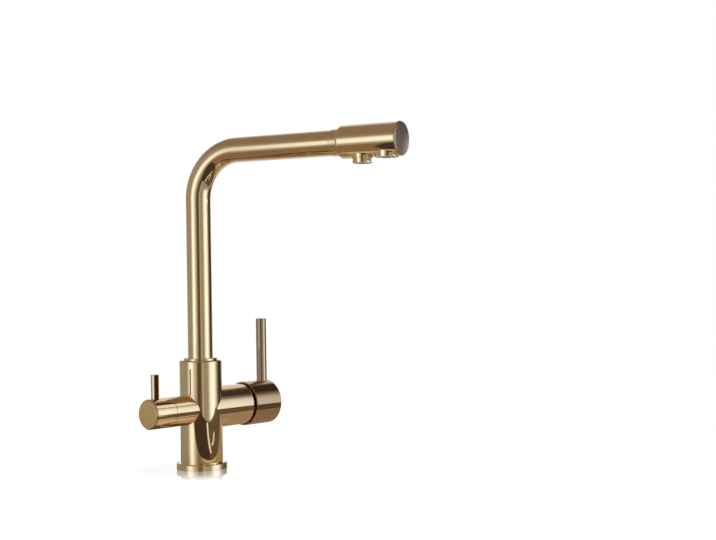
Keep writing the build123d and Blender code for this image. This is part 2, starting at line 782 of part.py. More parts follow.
disc_r = housing_bore_r - disc_travel / 2 - 2 * clear
disc_rest = -disc_travel / 2
cavity_r = port_circle_r - 2.0
with BuildPart() as moving_disc:
    holes(mixer_face(moving_disc_start), [(0, disc_rest)], disc_r, moving_disc_t, Mode.ADD)
    holes(mixer_face(moving_disc_start), [(0, 0)], cavity_r, moving_disc_t / 2)
save(moving_disc, "moving_disc")

with BuildPart() as disc_driver:
    holes(mixer_face(moving_disc_end), [(0, disc_rest)], disc_r - 0.6, driver_t, Mode.ADD)
    with BuildSketch(mixer_face(driver_end)):
        Rectangle(2 * rail_inner - 0.2, driver_boss_h)
    extrude(amount=driver_boss_t)
    holes(mixer_face(driver_boss_end), [(0, 0)], ball_r + 0.1, ball_reach - ball_r - clear - driver_boss_end)
save(disc_driver, "disc_driver")

cap_floor = lever_reach - lever_r - 1.6
stem_end = cap_floor - stem_gap
stem_foot = pivot_reach - stem_w / 2
with BuildPart() as cartridge_stem:
    with BuildSketch(mixer_face(stem_foot)):
        Rectangle(stem_w, stem_w)
    extrude(amount=stem_end - stem_foot)
    on_mixer(band(ball_reach, stem_foot, 0, ball_r * 0.6))
    with Locations((ball_reach, 0, handle_z)):
        Sphere(ball_r)
    holes(Plane.XZ.offset(-stem_w / 2), [(pivot_reach, handle_z)], pin_r + running, stem_w)
save(cartridge_stem, "cartridge_stem")

# ================================================================ mixer handle
boss_start = pivot_reach + dome_r - 0.2
boss_r = 8.5
socket_w = stem_w + 2 * seated
mixer_screw_reach = stem_end - screw_r + 0.5
lever_foot = handle_z + lever_sink
with BuildPart() as mixer_cap:
    on_mixer(band(cap_start, cap_end, 0, cap_r))
    fillet(mixer_cap.edges().filter_by(GeomType.CIRCLE).sort_by(handle_axis)[-1], cap_edge)
    on_mixer(band(cap_start, boss_start, 0, cap_bore_r), Mode.SUBTRACT)
    on_mixer(band(boss_start, cap_floor, boss_r, cap_bore_r), Mode.SUBTRACT)
    with BuildSketch(mixer_face(boss_start)):
        Rectangle(socket_w, socket_w)
    extrude(amount=stem_end - boss_start, mode=Mode.SUBTRACT)
    holes(Plane.XY.offset(lever_foot), [(lever_reach, 0)], lever_r + seated, cap_r)
    holes(Plane.XY.offset(handle_z - stem_w / 2), [(mixer_screw_reach, 0)], screw_r + seated, -cap_r)
save(mixer_cap, "mixer_cap")

with BuildPart() as mixer_lever:
    holes(Plane.XY.offset(lever_foot), [(lever_reach, 0)], lever_r, lever_top - lever_sink, Mode.ADD)
    fillet(mixer_lever.edges().filter_by(GeomType.CIRCLE).sort_by(Axis.Z)[-1], 0.6)
save(mixer_lever, "mixer_lever")

with BuildPart() as mixer_screw:
    tip = Plane(origin=(mixer_screw_reach, 0, handle_z - stem_w / 2 - seated), z_dir=(0, 0, -1))
    add(tip * grub_screw(boss_r - stem_w / 2 + 0.5, screw_r, screw_r))
save(mixer_screw, "mixer_screw")

# ================================================================ filter valve
sector_outer = valve_tube_bore_r - 2.1
sector_inner = 1.0
sector_half = 40.0
tongue_w = 3.0
tongue_depth = 0.9
window_end = valve_shoulder - 1.4
window_w = 3.2
valve_bore_end = valve_shoulder + 1.0
spindle_foot = window_end + clear


def quarter_openings(plane, depth, turned):
    """Two opposite openings of nearly a quarter through a ceramic disc."""
    with BuildSketch(plane) as openings:
        with PolarLocations(0, 2, start_angle=turned):
            with BuildSketch(mode=Mode.PRIVATE) as sector:
                with BuildLine():
                    angles = [radians(angle) for angle in (-sector_half, 0, sector_half)]
                    outside = [(sector_outer * cos(angle), sector_outer * sin(angle)) for angle in angles]
                    inside = [(sector_inner * cos(angle), sector_inner * sin(angle)) for angle in angles]
                    ThreePointArc(*outside)
                    Polyline(outside[2], inside[2], inside[0], outside[0])
                make_face()
            add(sector.sketch)
    extrude(openings.sketch, amount=depth, mode=Mode.SUBTRACT)


with BuildPart() as valve_seal:
    on_filter(band(valve_floor, valve_seal_end, sector_outer + 0.2, valve_tube_bore_r - 0.4))
save(valve_seal, "valve_seal")

with BuildPart() as valve_fixed_disc:
    on_filter(band(valve_seal_end, valve_fixed_end, 0, valve_disc_r))
    quarter_openings(filter_face(valve_seal_end), valve_fixed_t, 90)
save(valve_fixed_disc, "valve_fixed_disc")

with BuildPart() as valve_moving_disc:
    on_filter(band(valve_fixed_end + seated, valve_moving_end, 0, valve_disc_r))
    quarter_openings(filter_face(valve_fixed_end), valve_moving_t + seated, 0)
    with BuildSketch(filter_face(valve_moving_end)):
        Rectangle(2 * valve_disc_r, tongue_w + 2 * seated)
    extrude(amount=-tongue_depth - seated, mode=Mode.SUBTRACT)
save(valve_moving_disc, "valve_moving_disc")

with BuildPart() as valve_body:
    on_filter([
        (valve_seal_end, valve_tube_bore_r),
        (valve_bore_end, valve_tube_bore_r),
        (valve_bore_end, spindle_r + running),
        (valve_nose_end, spindle_r + running),
        (valve_nose_end, valve_tube_r),
        (valve_hex, valve_tube_r),
        (valve_hex, valve_r),
        (valve_shoulder, valve_r),
        (valve_shoulder, valve_tube_r),
        (valve_seal_end, valve_tube_r),
    ])
    with BuildSketch(filter_face(valve_hex)):
        RegularPolygon(valve_hex_w / 2, 6, major_radius=False)
        Circle(valve_tube_r - 0.5, mode=Mode.SUBTRACT)
    extrude(amount=valve_hex_t)
    with BuildSketch(filter_side):
        with Locations((window_end - window_w / 2, 0)):
            Rectangle(window_w, valve_tube_bore_r)
    extrude(amount=valve_tube_r + 1, both=True, mode=Mode.SUBTRACT)
save(valve_body, "valve_body")

with BuildPart() as valve_spindle:
    on_filter([
        (spindle_foot, 0),
        (spindle_foot, valve_disc_r),
        (valve_bore_end - 0.1, valve_disc_r),
        (valve_bore_end - 0.1, spindle_r),
        (spindle_end - 0.6, spindle_r),
        (spindle_end, spindle_r - 0.6),
        (spindle_end, 0),
    ])
    with BuildSketch(filter_face(spindle_foot)):
        Rectangle(1.5 * valve_disc_r, tongue_w)
    extrude(amount=valve_moving_end - tongue_depth - spindle_foot)
save(valve_spindle, "valve_spindle")

# ================================================================ filter handle
knob_bore_r = filter_branch_r - filter_knob_wall
knob_boss_start = valve_nose_end + 2.0
knob_boss_r = valve_tube_r
knob_floor = filter_lever_reach - filter_lever_r - 1.5
filter_screw_reach = (knob_boss_start + knob_floor) / 2
filter_lever_foot = handle_z + filter_lever_sink
with BuildPart() as filter_knob:
    on_filter([
        (knob_start, knob_bore_r),
        (knob_start, filter_branch_r),
        (knob_end - filter_knob_rim, filter_branch_r),
        (knob_end, filter_branch_r - filter_knob_rim),
        (knob_end, 0),
        (knob_boss_start, 0),
        (knob_boss_start, knob_boss_r),
        (knob_floor, knob_boss_r),
        (knob_floor, knob_bore_r),
    ])
    on_filter(band(knob_boss_start, spindle_end + clear, 0, spindle_r + seated), Mode.SUBTRACT)
    lever_place = [(-filter_lever_reach, 0)]
    holes(Plane.XY.offset(filter_lever_foot), lever_place, filter_lever_r + seated, filter_branch_r)
    screw_place = [(-filter_screw_reach, 0)]
    holes(Plane.XY.offset(handle_z), screw_place, filter_screw_r + seated, -filter_branch_r - 1)
save(filter_knob, "filter_knob")

plate_r = filter_branch_r - filter_knob_rim - 2 * seated
plate_end = knob_end + filter_plate_t
with BuildPart() as filter_plate:
    on_filter([
        (knob_end, 0),
        (knob_end, plate_r),
        (plate_end - 0.3, plate_r),
        (plate_end, plate_r - 0.3),
        (plate_end, 0),
    ])
save(filter_plate, "filter_plate")

with BuildPart() as filter_lever:
    stick = filter_lever_top - filter_lever_sink
    holes(Plane.XY.offset(filter_lever_foot), lever_place, filter_lever_r, stick, Mode.ADD)
    fillet(filter_lever.edges().filter_by(GeomType.CIRCLE).sort_by(Axis.Z)[-1], 0.5)
save(filter_lever, "filter_lever")

with BuildPart() as filter_screw:
    tip = Plane(origin=(-filter_screw_reach, 0, handle_z - spindle_r - seated), z_dir=(0, 0, -1))
    add(tip * grub_screw(knob_boss_r - spindle_r - 0.1, filter_screw_r, filter_screw_r))
save(filter_screw, "filter_screw")
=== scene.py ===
"""The looks of the three way kitchen tap: finishes, fine details, studio and camera.

Metres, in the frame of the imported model: +Z is up, the mixer points along +X, the filter handle
along -X, and the front faces -Y.
"""

import json
from math import cos, pi, radians, sin

import bpy
from mathutils import Matrix, Vector


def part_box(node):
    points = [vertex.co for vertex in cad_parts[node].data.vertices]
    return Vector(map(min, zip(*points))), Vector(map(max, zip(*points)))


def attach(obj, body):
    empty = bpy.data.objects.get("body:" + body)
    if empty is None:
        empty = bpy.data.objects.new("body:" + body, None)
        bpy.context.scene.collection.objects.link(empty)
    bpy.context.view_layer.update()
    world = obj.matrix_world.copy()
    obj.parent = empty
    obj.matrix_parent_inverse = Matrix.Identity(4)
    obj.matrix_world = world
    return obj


MM = 0.001

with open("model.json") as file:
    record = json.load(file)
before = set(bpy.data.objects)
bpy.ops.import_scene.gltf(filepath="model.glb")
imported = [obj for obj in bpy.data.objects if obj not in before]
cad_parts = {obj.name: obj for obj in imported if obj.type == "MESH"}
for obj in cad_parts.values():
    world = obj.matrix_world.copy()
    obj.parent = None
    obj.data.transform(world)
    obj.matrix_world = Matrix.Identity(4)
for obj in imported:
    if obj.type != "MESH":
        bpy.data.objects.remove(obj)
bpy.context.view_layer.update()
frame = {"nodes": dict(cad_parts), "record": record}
swing = radians(14.5)  # the spout's turn from the front towards the mixer


# ---------------------------------------------------------------- node helpers
def wire(tree, kind, inputs=None, **settings):
    """Add a node. Inputs are set by name or number, to a value or to another node's output."""
    node = tree.nodes.new(kind)
    for name, value in settings.items():
        setattr(node, name, value)
    for name, value in (inputs or {}).items():
        if isinstance(value, bpy.types.NodeSocket):
            tree.links.new(value, node.inputs[name])
        else:
            node.inputs[name].default_value = value
    return node


def made(tree, kind, inputs=None, **settings):
    """Add a node as wire does, and give its first output."""
    return wire(tree, kind, inputs, **settings).outputs[0]


def maths(tree, operation, first, second=0.0):
    """The result of an operation on two numbers. The second is left out where it takes only one."""
    return made(tree, "ShaderNodeMath", {0: first, 1: second}, operation=operation)


def vectors(tree, operation, first, second=None):
    """The result of an operation on vectors, which is a number for a length or a dot product."""
    inputs = {0: first}
    if second is not None:
        inputs["Scale" if operation == "SCALE" else 1] = second
    node = wire(tree, "ShaderNodeVectorMath", inputs, operation=operation)
    return node.outputs["Value" if operation in ("LENGTH", "DOT_PRODUCT") else "Vector"]


def between(tree, value, low, high, from_value=0.0, to_value=1.0):
    """A soft step that goes from one value to another while its input goes from low to high."""
    limits = {"From Min": low, "From Max": high, "To Min": from_value, "To Max": to_value}
    step = wire(tree, "ShaderNodeMapRange", {"Value": value, **limits}, interpolation_type="SMOOTHSTEP")
    return step.outputs["Result"]


def blend(tree, factor, first, second):
    """Mix two colours."""
    mix = wire(tree, "ShaderNodeMix", data_type="RGBA")
    for name, value in (("Factor_Float", factor), ("A_Color", first), ("B_Color", second)):
        socket = next(s for s in mix.inputs if s.identifier == name)
        if isinstance(value, bpy.types.NodeSocket):
            tree.links.new(value, socket)
        else:
            socket.default_value = value
    return next(s for s in mix.outputs if s.identifier == "Result_Color")


def mix_shaders(tree, share, first, second):
    """The first shader where the share is 0, and the second where it is 1."""
    return made(tree, "ShaderNodeMixShader", {0: share, 1: first, 2: second})


def grey(value):
    """A colour with no hue."""
    return (value, value, value, 1)


def shaded(colour, factor):
    """A colour made darker, or lighter up to white."""
    return tuple(min(1, part * factor) for part in colour[:3]) + (1,)


def new_material(name):
    """A material with an empty tree, and the tree."""
    material = bpy.data.materials.new(name)
    material.use_nodes = True
    material.node_tree.nodes.clear()
    return material, material.node_tree


def own_place(tree):
    """The place on the piece that is being shaded."""
    return wire(tree, "ShaderNodeTexCoord").outputs["Object"]


def finish_shader(tree, colour, metallic, roughness, normal, **sockets):
    """The last nodes of every finish. Values that are the same all over go on the shader's own sockets."""
    inputs = {"Base Color": colour, "Metallic": metallic, "Roughness": roughness, "Normal": normal}
    inputs.update({name.replace("_", " "): value for name, value in sockets.items()})
    shader = made(tree, "ShaderNodeBsdfPrincipled", inputs)
    wire(tree, "ShaderNodeOutputMaterial", {"Surface": shader})


def noise(tree, where, scale, detail, roughness=0.5):
    """Cloudy noise from 0 to 1. Its scale is in cells a metre."""
    inputs = {"Vector": where, "Scale": scale, "Detail": detail, "Roughness": roughness}
    return wire(tree, "ShaderNodeTexNoise", inputs).outputs["Fac"]


def bump(tree, height, depth, strength, normal):
    """Relief from a 0 to 1 height, with its depth in metres."""
    inputs = {"Height": height, "Distance": depth, "Strength": strength, "Normal": normal}
    return made(tree, "ShaderNodeBump", inputs)


def edge_share(tree, width):
    """The softened normal, and how near a point is to an edge: 0 on open faces, 1 on the edge."""
    open_face = 0.999  # likeness of the softened normal to the true one
    full_edge = 0.90
    soft = made(tree, "ShaderNodeBevel", {"Radius": width}, samples=6)
    true = wire(tree, "ShaderNodeNewGeometry").outputs["Normal"]
    likeness = vectors(tree, "DOT_PRODUCT", soft, true)
    return soft, between(tree, likeness, open_face, full_edge)


# ---------------------------------------------------------------- finishes
def polished(name, colour, gloss, unevenness=0.6):
    """Mirror polish over brass: faint ripple, wiping marks and a little wear along the edges."""
    worn_colour = (0.93, 0.78, 0.55, 1)
    material, tree = new_material(name)
    where = own_place(tree)
    soft, edge = edge_share(tree, 0.35 * MM)
    tone = between(tree, noise(tree, where, scale=35, detail=4), 0.3, 0.7)
    tint = blend(tree, tone, shaded(colour, 0.97), colour)
    scuffs = between(tree, noise(tree, where, scale=260, detail=4), 0.45, 0.7)
    worn = maths(tree, "MULTIPLY", edge, scuffs)
    tint = blend(tree, maths(tree, "MULTIPLY", worn, 0.5), tint, worn_colour)
    wiping = noise(tree, where, scale=60, detail=6, roughness=0.65)
    marks = between(tree, wiping, 0.35, 0.75, gloss, gloss + 0.05)
    rough = maths(tree, "ADD", marks, maths(tree, "MULTIPLY", worn, 0.10))
    ripple = noise(tree, where, scale=420, detail=2)
    relief = bump(tree, ripple, 0.004 * MM, unevenness, soft)
    finish_shader(tree, tint, 1.0, rough, relief)
    return material


def lathe_marks(tree, local, axis):
    """Fine turned rings: the distance from an axis drives a narrow noise."""
    ring_pitch = 0.12 * MM
    distance = vectors(tree, "LENGTH", vectors(tree, "CROSS_PRODUCT", local, axis))
    line = made(tree, "ShaderNodeCombineXYZ", {"X": distance})
    return noise(tree, line, scale=1 / ring_pitch, detail=2, roughness=0.6)


def straight_marks(tree, local, across):
    """Fine straight lines: the distance in the direction across them drives a narrow noise."""
    line_pitch = 0.9 * MM
    side = vectors(tree, "DOT_PRODUCT", local, across)
    line = made(tree, "ShaderNodeCombineXYZ", {"X": side})
    return noise(tree, line, scale=1 / line_pitch, detail=3, roughness=0.7)


def brushed(name, colour, rim_reflection_colour, centre, dome, marks, way):
    """A disc's slightly domed face with fine marks, which are rings about a way or lines across it, and a
    rim painted in a reflection colour.
    """
    gloss = 0.28
    material, tree = new_material(name)
    local = vectors(tree, "SUBTRACT", own_place(tree), centre)
    soft, edge = edge_share(tree, 0.5 * MM)
    grain = marks(tree, local, way)
    tint = blend(tree, grain, shaded(colour, 0.86), colour)
    # the rim gets a painted reflection colour, lighter on the filter plate
    tint = blend(tree, edge, tint, rim_reflection_colour)
    rough = between(tree, grain, 0.2, 0.8, gloss - 0.04, gloss + 0.06)
    lean = vectors(tree, "SCALE", local, dome)
    domed = vectors(tree, "NORMALIZE", vectors(tree, "ADD", soft, lean))
    finish_shader(tree, tint, 1.0, rough, bump(tree, grain, 0.01 * MM, 0.5, domed))
    return material


def machined(name, colour, gloss):
    """Bare brass or steel: cutter marks, stains, and edges lightened in colour as a painted highlight."""
    level_marks = (300, 300, 5000)  # cells a metre, so that the marks lie level
    material, tree = new_material(name)
    where = own_place(tree)
    soft, edge = edge_share(tree, 0.2 * MM)
    stain = between(tree, noise(tree, where, scale=90, detail=5, roughness=0.6), 0.35, 0.7)
    tint = blend(tree, stain, colour, shaded(colour, 0.82))
    # the edges are painted in a lighter colour: a painted highlight
    tint = blend(tree, maths(tree, "MULTIPLY", edge, 0.4), tint, shaded(colour, 1.2))
    lines = made(tree, "ShaderNodeMapping", {"Vector": where, "Scale": level_marks})
    cuts = noise(tree, lines, scale=1, detail=2)
    rough = between(tree, cuts, 0.3, 0.7, gloss, gloss + 0.12)
    finish_shader(tree, tint, 1.0, rough, bump(tree, cuts, 0.006 * MM, 0.5, soft))
    return material


def moulded(name, colour, gloss, grain, specular):
    """Plastic, rubber or fired ceramic: fine grain and a slightly uneven colour."""
    material, tree = new_material(name)
    where = own_place(tree)
    soft = edge_share(tree, 0.2 * MM)[0]
    tone = between(tree, noise(tree, where, scale=120, detail=4), 0.35, 0.65)
    tint = blend(tree, tone, shaded(colour, 0.93), colour)
    grains = noise(tree, where, scale=1 / grain, detail=2)
    rough = between(tree, grains, 0.3, 0.7, gloss - 0.04, gloss + 0.06)
    relief = bump(tree, grains, grain * 0.1, 0.5, soft)
    finish_shader(tree, tint, 0.0, rough, relief, Specular_IOR_Level=specular)
    return material


def brushed_plate():
    """The filter knob's end plate, turned in rings about its own axis."""
    low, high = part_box("filter_plate")
    return brushed(
        "brushed_plate",
        colour=(1.0, 0.71, 0.38, 1),
        rim_reflection_colour=(1.0, 0.86, 0.62, 1),
        centre=(low + high) / 2,
        dome=3.0,
        marks=lathe_marks,
        way=(1, 0, 0),
    )


def brushed_end():
    """The cap on the end of the spout's head, a browner gold brushed in straight upright lines."""
    low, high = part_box("head_cap")
    return brushed(
        "brushed_end",
        colour=(0.84, 0.66, 0.56, 1),
        rim_reflection_colour=(0.80, 0.68, 0.56, 1),
        centre=(low + high) / 2,
        dome=5.0,
        marks=straight_marks,
        way=(cos(swing), sin(swing), 0),
    )


finishes = {
    "polished_gold": polished("polished_gold", (0.90, 0.70, 0.44, 1), 0.02),
    "brushed_gold": brushed_plate(),
    "plain_brass": machined("plain_brass", (0.74, 0.53, 0.24, 1), 0.22),
    "rubber": moulded("rubber", (0.02, 0.02, 0.02, 1), 0.6, 0.15 * MM, 0.3),
    "ceramic": moulded("ceramic", (0.85, 0.83, 0.78, 1), 0.14, 0.05 * MM, 0.5),
    "white_plastic": moulded("white_plastic", (0.78, 0.78, 0.75, 1), 0.38, 0.12 * MM, 0.5),
    "grey_plastic": moulded("grey_plastic", (0.36, 0.34, 0.29, 1), 0.42, 0.12 * MM, 0.5),
    "steel": machined("steel", (0.55, 0.55, 0.56, 1), 0.25),
}
# the mixer's cap and lever are of a browner gold, and so is the brushed end; the lever's gold is also
# darkened all over as painted shade
browner = {
    "mixer_cap": polished("cap_gold", (0.62, 0.44, 0.29, 1), 0.03),
    # the lever's colour is darkened to stand in for the darker light it mirrors: painted shade
    "mixer_lever": polished("lever_gold_painted_shade", (0.54, 0.41, 0.29, 1), 0.02, unevenness=0.15),
    "head_cap": brushed_end(),
}
slot_of = {part["node"]: part["material_slot"] for part in frame["record"]["subparts"]}
for name, node in frame["nodes"].items():
    node.data.materials.clear()
    node.data.materials.append(browner.get(name, finishes[slot_of[name]]))


# ---------------------------------------------------------------- fine pieces made by geometry nodes
def new_rule(name, sizes):
    """An empty geometry node tree with named sizes as its inputs, and its input node's outputs."""
    tree = bpy.data.node_groups.new(name, "GeometryNodeTree")
    for label in sizes:
        kind = "NodeSocketInt" if label == "Count" else "NodeSocketFloat"
        tree.interface.new_socket(label, in_out="INPUT", socket_type=kind)
    tree.interface.new_socket("Geometry", in_out="OUTPUT", socket_type="NodeSocketGeometry")
    return tree, wire(tree, "NodeGroupInput").outputs


def close_rule(tree, geometry, material):
    """The last nodes of every tree."""
    real = made(tree, "GeometryNodeRealizeInstances", {"Geometry": geometry})
    painted = made(tree, "GeometryNodeSetMaterial", {"Geometry": real, "Material": material})
    wire(tree, "NodeGroupOutput", {"Geometry": painted})


def circle(tree, corners, radius):
    """A circle as a curve with a number of corners."""
    return made(tree, "GeometryNodeCurvePrimitiveCircle", {"Resolution": corners, "Radius": radius})


def sweep(tree, curve, profile):
    """A profile swept along a curve, with closed ends."""
    inputs = {"Curve": curve, "Profile Curve": profile, "Fill Caps": True}
    return made(tree, "GeometryNodeCurveToMesh", inputs)


def make_piece(tree, name, sizes, body):
    """Run a tree with the given sizes and keep the result as a plain mesh that rides on a body."""
    host = bpy.data.objects.new("host", bpy.data.meshes.new("host"))
    bpy.context.scene.collection.objects.link(host)
    modifier = host.modifiers.new("rule", "NODES")
    modifier.node_group = tree
    for socket in tree.interface.items_tree:
        if socket.in_out == "INPUT":
            modifier[socket.identifier] = sizes[socket.name]
    ready = host.evaluated_get(bpy.context.evaluated_depsgraph_get())
    mesh = bpy.data.meshes.new_from_object(ready)
    bpy.data.objects.remove(host)
    piece = bpy.data.objects.new(name, mesh)
    bpy.context.scene.collection.objects.link(piece)
    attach(piece, body)


def thread_rule(material):
    """V threads inside round holes that lie evenly on a circle, from a start height upwards."""
    ridge_share = 0.49  # half of a ridge's width in pitches, so that turns don't quite touch
    turn_points = 32
    sizes = ("Count", "Circle Radius", "First Angle", "Hole Radius", "Pitch", "Length", "Start")
    tree, given = new_rule("thread", sizes)
    spiral = made(tree, "GeometryNodeCurveSpiral", {
        "Resolution": turn_points,
        "Rotations": maths(tree, "DIVIDE", given["Length"], given["Pitch"]),
        "Start Radius": given["Hole Radius"],
        "End Radius": given["Hole Radius"],
        "Height": given["Length"],
    })
    upright = made(tree, "GeometryNodeSetCurveNormal", {"Curve": spiral}, mode="Z_UP")
    # the ridge has four corners: one points into the hole, and its opposite is sunk in the wall
    half = maths(tree, "MULTIPLY", given["Pitch"], ridge_share)
    thread = sweep(tree, upright, circle(tree, 4, half))
    step = maths(tree, "DIVIDE", 2 * pi, given["Count"])
    index = made(tree, "GeometryNodeInputIndex")
    angle = maths(tree, "ADD", given["First Angle"], maths(tree, "MULTIPLY", index, step))
    places = made(tree, "ShaderNodeCombineXYZ", {
        "X": maths(tree, "MULTIPLY", maths(tree, "COSINE", angle), given["Circle Radius"]),
        "Y": maths(tree, "MULTIPLY", maths(tree, "SINE", angle), given["Circle Radius"]),
        "Z": given["Start"],
    })
    points = made(tree, "GeometryNodePoints", {"Count": given["Count"], "Position": places})
    threads = made(tree, "GeometryNodeInstanceOnPoints", {"Points": points, "Instance": thread})
    close_rule(tree, threads, material)
    return tree


def straight_wires(tree, given, pitch, middle):
    """A row of parallel lines, each as long as the circle is wide where it lies."""
    points_a_wire = 96
    index = made(tree, "GeometryNodeInputIndex")
    across = maths(tree, "MULTIPLY", maths(tree, "SUBTRACT", index, middle), pitch)
    spots = made(tree, "ShaderNodeCombineXYZ", {"X": across})
    points = made(tree, "GeometryNodePoints", {"Count": given["Count"], "Position": spots})
    radius_squared = maths(tree, "POWER", given["Radius"], 2.0)
    across_squared = maths(tree, "POWER", across, 2.0)
    reach = maths(tree, "SQRT", maths(tree, "SUBTRACT", radius_squared, across_squared))
    stretch = made(tree, "ShaderNodeCombineXYZ", {"X": 1.0, "Y": reach, "Z": 1.0})
    line = made(tree, "GeometryNodeCurvePrimitiveLine", {"Start": (0, -1, 0), "End": (0, 1, 0)})
    line = made(tree, "GeometryNodeResampleCurve", {"Curve": line, "Count": points_a_wire})
    row = {"Points": points, "Instance": line, "Scale": stretch}
    wires = made(tree, "GeometryNodeInstanceOnPoints", row)
    return made(tree, "GeometryNodeRealizeInstances", {"Geometry": wires})


def waved(tree, given, wires, pitch, middle):
    """Wires that go over and under the ones that cross them."""
    rise_share = 0.52  # of a wire's thickness, a little over half, so that crossing wires stay clear
    position = made(tree, "GeometryNodeInputPosition")
    here = wire(tree, "ShaderNodeSeparateXYZ", {0: position}).outputs
    steps = maths(tree, "DIVIDE", maths(tree, "ADD", here["X"], here["Y"]), pitch)
    wave = maths(tree, "COSINE", maths(tree, "MULTIPLY", maths(tree, "ADD", steps, middle), pi))
    rise = maths(tree, "MULTIPLY", wave, maths(tree, "MULTIPLY", given["Wire"], rise_share))
    lift = made(tree, "ShaderNodeCombineXYZ", {"Z": rise})
    return made(tree, "GeometryNodeSetPosition", {"Geometry": wires, "Offset": lift})


def screen_rule(material, centre):
    """A round woven wire screen with a thick rim, lying flat about a centre and turned with the spout."""
    wire_corners = 5
    rim_corners = 64
    rim_wire_corners = 8
    tree, given = new_rule("screen", ("Count", "Radius", "Wire"))
    width = maths(tree, "MULTIPLY", given["Radius"], 2.0)
    pitch = maths(tree, "DIVIDE", width, maths(tree, "ADD", given["Count"], 1.0))
    middle = maths(tree, "DIVIDE", maths(tree, "SUBTRACT", given["Count"], 1.0), 2.0)
    wires = waved(tree, given, straight_wires(tree, given, pitch, middle), pitch, middle)
    crossing = made(tree, "GeometryNodeTransform", {"Geometry": wires, "Rotation": (pi, 0, pi / 2)})
    section = circle(tree, wire_corners, maths(tree, "MULTIPLY", given["Wire"], 0.5))
    rim = circle(tree, rim_corners, given["Radius"])
    rim_section = circle(tree, rim_wire_corners, given["Wire"])
    joined = wire(tree, "GeometryNodeJoinGeometry")
    for curve, profile in ((wires, section), (crossing, section), (rim, rim_section)):
        tree.links.new(sweep(tree, curve, profile), joined.inputs[0])
    turned = {"Geometry": joined.outputs[0], "Translation": centre, "Rotation": (0, 0, swing)}
    close_rule(tree, made(tree, "GeometryNodeTransform", turned), material)
    return tree


def make_threads():
    """The threads for the fixing stud and for the three hoses, in the holes of the inlet block."""
    low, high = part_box("inlet_block")
    block_r = (high.x - low.x) / 2
    hose_inset = 6.7 * MM  # from the block's side to the middle of a hose's hole
    tree = thread_rule(finishes["plain_brass"])
    stud_sizes = {
        "Count": 1,
        "Circle Radius": 0.0,
        "First Angle": 0.0,
        "Hole Radius": 4 * MM,
        "Pitch": 1.25 * MM,
        "Length": 9.2 * MM,
        "Start": 1.0 * MM,
    }
    hose_sizes = {
        "Count": 3,
        "Circle Radius": block_r - hose_inset,
        "First Angle": radians(60),
        "Hole Radius": 5 * MM,
        "Pitch": 1.0 * MM,
        "Length": 7.8 * MM,
        "Start": 0.9 * MM,
    }
    make_piece(tree, "stud_thread", stud_sizes, "column")
    make_piece(tree, "inlet_threads", hose_sizes, "column")


def make_screen():
    """The woven screen inside the aerator."""
    low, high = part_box("aerator_insert")
    middle = (low + high) / 2
    insert_r = (high.x - low.x) / 2
    screen_drop = 1.9 * MM  # below the insert's upper end
    screen_margin = 1.6 * MM  # inside the insert's outer edge
    centre = (middle.x, middle.y, high.z - screen_drop)
    sizes = {"Count": 17, "Radius": insert_r - screen_margin, "Wire": 0.22 * MM}
    make_piece(screen_rule(finishes["steel"], centre), "aerator_screen", sizes, "spout")


make_threads()
make_screen()

# ---------------------------------------------------------------- camera
camera_distance = 1.26526
camera_height = 0.19289
camera_azimuth = radians(41.206)  # from the front towards the filter side
camera_yaw = radians(-48.557)
camera_pitch = radians(0.2847)
camera_roll = radians(-0.8873)
lens = bpy.data.cameras.new("camera")
lens.lens = 61.889
lens.sensor_width = 36
lens.clip_start = 0.01
camera = bpy.data.objects.new("camera", lens)
bpy.context.scene.collection.objects.link(camera)
camera_x = -camera_distance * sin(camera_azimuth)
camera_y = -camera_distance * cos(camera_azimuth)
camera.matrix_world = (
    Matrix.Translation(Vector((camera_x, camera_y, camera_height)))
    @ Matrix.Rotation(camera_yaw, 4, "Z")
    @ Matrix.Rotation(pi / 2 + camera_pitch, 4, "X")
    @ Matrix.Rotation(camera_roll, 4, "Z")
)
bpy.context.scene.camera = camera


# ---------------------------------------------------------------- studio
# Azimuths here are in degrees, counted from the camera's side, and grow towards the picture's right.
def around(tree, direction):
    """A direction's parts towards the camera (X), across it (Y) and up (Z), and its azimuth."""
    turn = {"Vector": direction, "Angle": pi / 2 - camera_yaw}
    turned = made(tree, "ShaderNodeVectorRotate", turn, rotation_type="Z_AXIS")
    parts = wire(tree, "ShaderNodeSeparateXYZ", {0: turned}).outputs
    azimuth = maths(tree, "MULTIPLY", maths(tree, "ARCTAN2", parts["Y"], parts["X"]), 180 / pi)
    return parts, azimuth


def panel(tree, azimuth, level, middle, width, low, high, soft, soft_up):
    """How much of a panel a direction meets, from 0 to 1. Its level is an elevation or a distance."""
    window = {0: azimuth, 1: middle + 180.0, 2: middle - 180.0}
    turned = made(tree, "ShaderNodeMath", window, operation="WRAP")
    off = maths(tree, "ABSOLUTE", maths(tree, "SUBTRACT", turned, middle))
    aside = between(tree, off, width / 2 + soft / 2, width / 2 - soft / 2)
    above = between(tree, level, low - soft_up / 2, low + soft_up / 2)
    below = between(tree, level, high + soft_up / 2, high - soft_up / 2)
    return maths(tree, "MULTIPLY", aside, maths(tree, "MULTIPLY", above, below))


